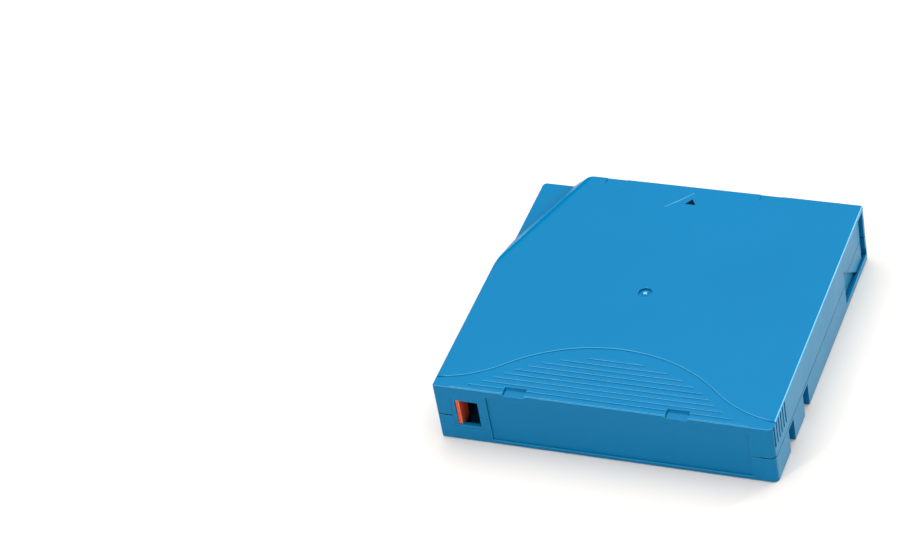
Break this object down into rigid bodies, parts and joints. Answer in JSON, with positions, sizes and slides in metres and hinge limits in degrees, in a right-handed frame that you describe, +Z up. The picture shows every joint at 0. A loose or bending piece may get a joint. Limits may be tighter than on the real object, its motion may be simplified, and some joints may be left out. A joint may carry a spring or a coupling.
{
  "type": "data tape cartridge",
  "caption": "Single-reel half-inch data tape cartridge in a flat two-part plastic case, with sliding access door, write-protect slide, braked reel, leader pin and contactless memory.",
  "frame": {"origin": "centre of the case's bounding box on the underside, z = 0 on the face it rests on", "axes": "+X towards the side with the sliding door, +Y the way it is pushed into a drive, +Z up through the roof with the arrow"},
  "size_m": [0.1054, 0.102, 0.0215],
  "materials": {
    "case_blue": "fine satin moulded plastic",
    "door_blue": "satin moulded plastic",
    "tab_red": "moulded orange-red plastic",
    "steel": "bright steel",
    "hub_grey": "moulded light grey plastic",
    "flange_grey": "moulded grey plastic",
    "tape_dark": "wound tape edges",
    "brake_white": "natural acetal",
    "pad_black": "black acetal",
    "spring_steel": "drawn wire",
    "board_green": "solder mask",
    "chip_black": "epoxy"
  },
  "bodies": {
    "case": {"upper_shell": "case_blue", "lower_shell": "case_blue", "case_screws": "steel", "door_spring": "spring_steel", "brake_spring": "spring_steel", "leader_pin": "steel", "tape_clamp": "pad_black", "leader_tape": "tape_dark", "pin_retaining_spring": "spring_steel", "memory_board": "board_green", "memory_chip": "chip_black"},
    "door": {"door": "door_blue"},
    "tab": {"write_protect_tab": "tab_red"},
    "reel": {"reel_hub": "hub_grey", "upper_flange": "flange_grey", "clutch_plate": "steel", "tape_pack": "tape_dark"},
    "brake": {"brake_button": "brake_white"},
    "pad": {"release_pad": "pad_black"}
  },
  "joints": [
    {"name": "door_slide", "type": "slide", "parent": "case", "child": "door", "axis": [0, -1, 0], "range_m": [0, 0.015], "stiffness_N_per_m": 20, "springref_m": -0.01, "deforming": ["door_spring"]},
    {"name": "write_protect_slide", "type": "slide", "parent": "case", "child": "tab", "axis": [1, 0, 0], "range_m": [0, 0.006]},
    {"name": "reel_spin", "type": "hinge", "parent": "case", "child": "reel", "pos_m": [-0.0018, 0, 0], "axis": [0, 0, 1], "continuous": true},
    {"name": "brake_lift", "type": "slide", "parent": "case", "child": "brake", "axis": [0, 0, 1], "range_m": [0, 0.0016], "stiffness_N_per_m": 200, "springref_m": -0.005, "deforming": ["brake_spring"]},
    {"name": "pad_lift", "type": "slide", "parent": "reel", "child": "pad", "axis": [0, 0, 1], "range_m": [0, 0.0016]}
  ],
  "couplings": [
    {"joint": "pad_lift", "follows": "brake_lift", "ratio": 1}
  ]
}
